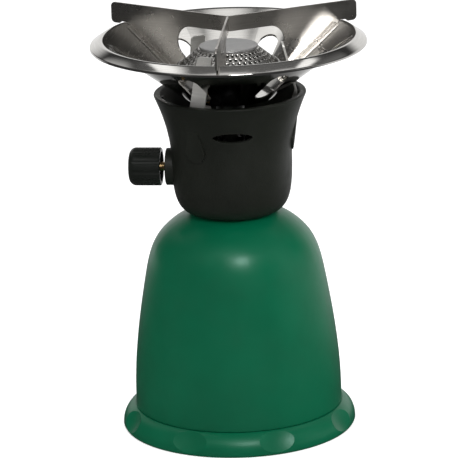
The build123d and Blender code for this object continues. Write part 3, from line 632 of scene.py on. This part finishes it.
# ---- Burner screen ----
PORT_ROWS = 4
PORTS_PER_ROW = 42
PORT_PITCH = 2.6
PORT_R = 0.66
PORT_RIM_R = 1.02
PORT_DIP = 0.28
FIRST_ROW = 1.7
SCREEN_SHEET = 0.5
SCREEN_SKIRT = 0.9
CAP_LAP = 0.1
LIP_W = 3.0
TOP_BEND_OUT = 0.3
TOP_BEND_IN = 0.5
CONE_BEND_OUT = 0.3
CONE_BEND_IN = 0.2
SKIRT_BEND_OUT = 0.1
SKIRT_BEND_IN = 0.2
EDGE_STEPS = 4


def port_edge():
    """Outline of the square cell round one port, as shares of its width and height."""
    shares = [i / EDGE_STEPS - 0.5 for i in range(EDGE_STEPS)]
    return ([(t, -0.5) for t in shares] + [(0.5, t) for t in shares]
            + [(-t, 0.5) for t in shares] + [(-0.5, -t) for t in shares])


def make_burner_screen(materials):
    """Perforated cone whose ports have rolled-in rims."""
    low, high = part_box("burner_screen")
    half = SCREEN_SHEET / 2
    foot_r, foot_z = high.x / MM - half, low.z / MM + SCREEN_SKIRT
    head_r, head_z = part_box("burner_cap")[1].x / MM - CAP_LAP, high.z / MM - half
    slope = hypot(foot_r - head_r, head_z - foot_z)
    out_share, down_share = (foot_r - head_r) / slope, (head_z - foot_z) / slope
    mesh = bmesh.new()

    def on_cone(down, lift):
        """(radius, height) so far down the sheet's middle from the head, and lifted off it."""
        return (head_r + out_share * down + down_share * lift, head_z - down_share * down + out_share * lift)

    def cell_ring(centre, middle, lift, radius=None):
        """Ring round one port: the cell's edge, or a circle with as many points."""
        width = 2 * pi * on_cone(middle, lift)[0] / PORTS_PER_ROW
        ring = []
        for across, along in port_edge():
            x, y = across * width, along * PORT_PITCH
            share = radius / hypot(x, y) if radius else 1.0
            r, z = on_cone(middle + y * share, lift)
            turn = 2 * pi * (centre + x * share / width) / PORTS_PER_ROW
            ring.append((r * cos(turn), r * sin(turn), z))
        return ring

    for row in range(PORT_ROWS):
        middle = FIRST_ROW + PORT_PITCH * row
        for port in range(PORTS_PER_ROW):
            centre = port + 0.5 * (row % 2)
            bridge_all(mesh, [cell_ring(centre, middle, half),
                              cell_ring(centre, middle, half, PORT_RIM_R),
                              cell_ring(centre, middle, half - PORT_DIP, PORT_R),
                              cell_ring(centre, middle, -half, PORT_R),
                              cell_ring(centre, middle, -half)])
    start, end = FIRST_ROW - PORT_PITCH / 2, FIRST_ROW + PORT_PITCH * (PORT_ROWS - 0.5)
    lip_r = head_r - LIP_W
    top = [on_cone(start, half), (head_r - TOP_BEND_OUT, head_z + half), (lip_r, head_z + half),
           (lip_r, head_z - half), (head_r - TOP_BEND_IN, head_z - half), on_cone(start, -half)]
    skirt_out, skirt_in, skirt_z = foot_r + half, foot_r - half, foot_z - SCREEN_SKIRT
    rim = [on_cone(end, half), on_cone(slope - CONE_BEND_OUT, half), (skirt_out, foot_z - SKIRT_BEND_OUT),
           (skirt_out, skirt_z), (skirt_in, skirt_z), (skirt_in, foot_z - SKIRT_BEND_IN),
           on_cone(slope - CONE_BEND_IN, -half), on_cone(end, -half)]
    for profile in (top, rim):
        bridge_all(mesh, [ring_at(r, z, PORTS_PER_ROW * EDGE_STEPS) for r, z in profile])
    piece = finish_piece("burner_screen_pressed", mesh, "burner_screen", materials, "burner_steel")
    smooth_between_creases(piece, CREASE_ANGLE)


# ---- Leg screws ----
SCREW_COUNT = 3
SCREW_START = -111.4
RECESS_REACH = 1.6
RECESS_HALF = 0.42
RECESS_DEPTH = 1.0
RECESS_CLEAR = 0.3


def recess_outline():
    """Outline of a cross round a screw's middle."""
    quarter = [(RECESS_REACH, -RECESS_HALF), (RECESS_REACH, RECESS_HALF), (RECESS_HALF, RECESS_HALF)]
    outline = []
    for _ in range(4):
        outline += quarter
        quarter = [(-y, x) for x, y in quarter]
    return outline


def middle_of(values):
    return (min(values) + max(values)) / 2


def make_leg_screws(materials):
    """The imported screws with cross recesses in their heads, which face the stove's middle."""
    packed = nodes["leg_screws"].data
    recesses = bmesh.new()
    for i in range(SCREW_COUNT):
        turn = turn_to(SCREW_START, SCREW_COUNT, i)
        turned = [turn.transposed() @ vertex.co / MM for vertex in packed.vertices]
        screw = [point for point in turned if point.x > 0]
        face_x = min(point.x for point in screw)
        mid_y, mid_z = middle_of([point.y for point in screw]), middle_of([point.z for point in screw])
        ends = [[turn @ Vector((x, mid_y + y, mid_z + z)) for y, z in recess_outline()]
                for x in (face_x - RECESS_CLEAR, face_x + RECESS_DEPTH)]
        add_prism(recesses, *ends)
    mesh = packed_mesh("leg_screws")
    piece = finish_piece("leg_screws_recessed", mesh, "leg_screws", materials, "zinc_steel")
    cut_with(piece, cutter_from("recess_cutter", recesses))
    smooth_between_creases(piece, CREASE_ANGLE)


# ---- What gloss sees ----
# Each patch is a brightness and, for each way of looking, where it goes from dark to lit. Ways are
# shares of a direction: right, behind and height as the camera sees the stove, reach bends the strip
# forwards at its ends, and drift leans the backdrop to the right.
PATCHES = {
    "overhead_strip": (1.3, {"reach": ((-0.08, 0.0), (0.18, 0.12)), "height": ((0.72, 0.9),)}),
    "front_box": (0.95, {"height": ((0.66, 0.75), (0.93, 0.86)), "behind": ((-0.28, -0.42),),
                         "right": ((-0.50, -0.35), (0.15, 0.0))}),
    "left_box": (1.5, {"right": ((-0.405, -0.38), (-0.19, -0.33)), "behind": ((0.18, 0.25), (0.55, 0.45))}),
    "right_box": (1.5, {"right": ((0.36, 0.385), (0.445, 0.42)), "behind": ((0.2, 0.28), (0.55, 0.45))}),
    "left_wall": (0.6, {"right": ((-0.75, -0.6), (-0.42, -0.5)), "height": ((0.42, 0.5), (0.78, 0.66))}),
    "right_wall": (0.2, {"right": ((0.40, 0.5), (0.9, 0.75)), "height": ((0.5, 0.6), (0.85, 0.75))}),
    "right_panel": (0.5, {"right": ((0.72, 0.92),), "height": ((0.35, 0.2),)}),
    "backdrop": (0.95, {"drift": ((0.6, 0.9),), "height": ((0.52, 0.34),)}),
}
STRIP_STRAIGHT = 0.20
STRIP_BEND = 0.85
BACKDROP_LEAN = 0.2
ROOM_EDGES = (0.6, 0.92)
ROOM_LEVELS = (0.045, 0.16)
BLACK = (0.0, 0.0, 0.0)
STUDIO_WHITE = (1.0, 0.995, 0.985)


def seen_parts(tree, where):
    """How far a direction or place lies to the right of, behind and above the stove in the view."""
    right = put(tree, "VectorMath", {0: where, 1: (cos(EYE_TURN), sin(EYE_TURN), 0)}, operation="DOT_PRODUCT")
    behind = put(tree, "VectorMath", {0: where, 1: (-sin(EYE_TURN), cos(EYE_TURN), 0)},
                 operation="DOT_PRODUCT")
    height = put(tree, "SeparateXYZ", {0: where}).outputs[2]
    return right.outputs["Value"], behind.outputs["Value"], height


def leaning(tree, behind, right, share):
    """Distance behind that also grows to the right, by a share."""
    return maths(tree, "ADD", behind, maths(tree, "MULTIPLY", right, share))


def studio_in_gloss(tree, way):
    """What polished metal sees: a dark room, a white backdrop and a few soft boxes overhead."""
    right, behind, height = seen_parts(tree, way)
    aside = maths(tree, "SUBTRACT", maths(tree, "ABSOLUTE", right), STRIP_STRAIGHT)
    bend = maths(tree, "MULTIPLY", maths(tree, "MAXIMUM", aside, 0.0), STRIP_BEND)
    ways = {"right": right, "behind": behind, "height": height,
            "reach": maths(tree, "SUBTRACT", behind, bend),
            "drift": leaning(tree, behind, right, BACKDROP_LEAN)}
    level = between(tree, ramp(tree, height, *ROOM_EDGES), *ROOM_LEVELS)
    for light, edges in PATCHES.values():
        for name, pairs in edges.items():
            for dark_at, lit_at in pairs:
                light = maths(tree, "MULTIPLY", light, ramp(tree, ways[name], dark_at, lit_at))
        level = maths(tree, "MAXIMUM", level, light)
    return tint(tree, level, BLACK, STUDIO_WHITE)


# ---- Stage ----
FLOOR_SIZE = 8.0
FLOOR_Z = -0.0002
FLOOR_WHITE = (0.86, 0.86, 0.86, 1)
FLOOR_GLOW = 0.5  # lifts the floor to white in the view
MIRRORED_LEAN = 0.4
MIRRORED_EDGES = (0.05, 0.6)  # metres behind the stove
MIRRORED_LEVELS = (0.05, 0.9)
EVEN_LIGHT = (0.45, 0.45, 0.45)
WHITE = (1, 1, 1)
# Soft boxes: place as (right, behind, up) in the view, height aimed at on the axis, size and power
SOFTBOXES = {
    "key_softbox": {"at": (0.20, -1.13, 1.05), "aim": 0.09, "size": (0.36, 0.28), "watts": 8.0},
    "top_softbox": {"at": (-0.22, 0.26, 1.38), "aim": 0.19, "size": (0.62, 0.48), "watts": 6.0},
    "left_softbox": {"at": (-1.35, -0.40, 0.70), "aim": 0.12, "size": (0.7, 1.0), "watts": 3.5},
    "right_softbox": {"at": (1.35, -0.30, 0.70), "aim": 0.12, "size": (0.5, 0.9), "watts": 9.5},
}
SEEN_IN_GLOSS = ("key_softbox",)


def add_floor():
    """White floor that is lit for the view and the shadows, and shaded from dark to light in gloss."""
    bpy.ops.mesh.primitive_plane_add(size=FLOOR_SIZE, location=(0, 0, FLOOR_Z))
    floor = bpy.context.object
    floor.name = "floor"
    material = bpy.data.materials.new("floor_white")
    material.use_nodes = True
    tree = material.node_tree
    tree.nodes.clear()
    rays = put(tree, "LightPath")
    matt = put(tree, "BsdfDiffuse", {"Color": FLOOR_WHITE}).outputs[0]
    glow = maths(tree, "MULTIPLY", rays.outputs["Is Camera Ray"], FLOOR_GLOW)
    glowing = put(tree, "Emission", {"Color": (*WHITE, 1), "Strength": glow}).outputs[0]
    lit = put(tree, "AddShader", {0: matt, 1: glowing}).outputs[0]
    right, behind, _ = seen_parts(tree, object_place(tree))
    far = ramp(tree, leaning(tree, behind, right, MIRRORED_LEAN), *MIRRORED_EDGES)
    shade = between(tree, far, *MIRRORED_LEVELS)
    mirrored = put(tree, "Emission", {"Color": (*WHITE, 1), "Strength": shade}).outputs[0]
    surface = put(tree, "MixShader", {0: rays.outputs["Is Glossy Ray"], 1: lit, 2: mirrored}).outputs[0]
    tree.nodes.active = put(tree, "OutputMaterial", {"Surface": surface})
    floor.data.materials.append(material)


def light_world():
    """White to the camera, a studio for gloss and an even level for the rest."""
    world = bpy.data.worlds.new("studio")
    world.use_nodes = True
    bpy.context.scene.world = world
    tree = world.node_tree
    tree.nodes.clear()
    rays = put(tree, "LightPath")
    studio = studio_in_gloss(tree, put(tree, "TexCoord").outputs["Generated"])
    unseen = tint(tree, rays.outputs["Is Glossy Ray"], EVEN_LIGHT, studio)
    colour = tint(tree, rays.outputs["Is Camera Ray"], unseen, WHITE)
    background = put(tree, "Background", {"Color": colour, "Strength": 1.0})
    put(tree, "OutputWorld", {"Surface": background.outputs[0]})


def from_camera_side(right, behind, up):
    """Place given to the right of, behind and above the stove as the camera sees it."""
    return Vector((right * cos(EYE_TURN) - behind * sin(EYE_TURN),
                   right * sin(EYE_TURN) + behind * cos(EYE_TURN), up))


def add_softbox(name, at, aim, size, watts):
    data = bpy.data.lights.new(name, "AREA")
    data.shape = "RECTANGLE"
    data.size, data.size_y = size
    data.energy = watts
    lamp = add_object(name, data)
    lamp.location = from_camera_side(*at)
    lamp.visible_glossy = name in SEEN_IN_GLOSS
    lamp.rotation_mode = "QUATERNION"
    lamp.rotation_quaternion = (Vector((0, 0, aim)) - lamp.location).to_track_quat("-Z", "Y")


# ---- Scene ----
add_camera()
light_world()
for name, box in SOFTBOXES.items():
    add_softbox(name, **box)
add_floor()
materials = make_materials()
dress(materials)
make_dish(materials)
make_burner_screen(materials)
make_leg_screws(materials)
for sheet in ("pan_support_vee", "pan_support_blade"):
    eased_copy(sheet, materials, "satin_steel")
for strip in ("leg_front", "leg_right", "leg_rear"):
    eased_copy(strip, materials, "strip_steel")

bpy.context.scene.view_settings.view_transform = "Standard"
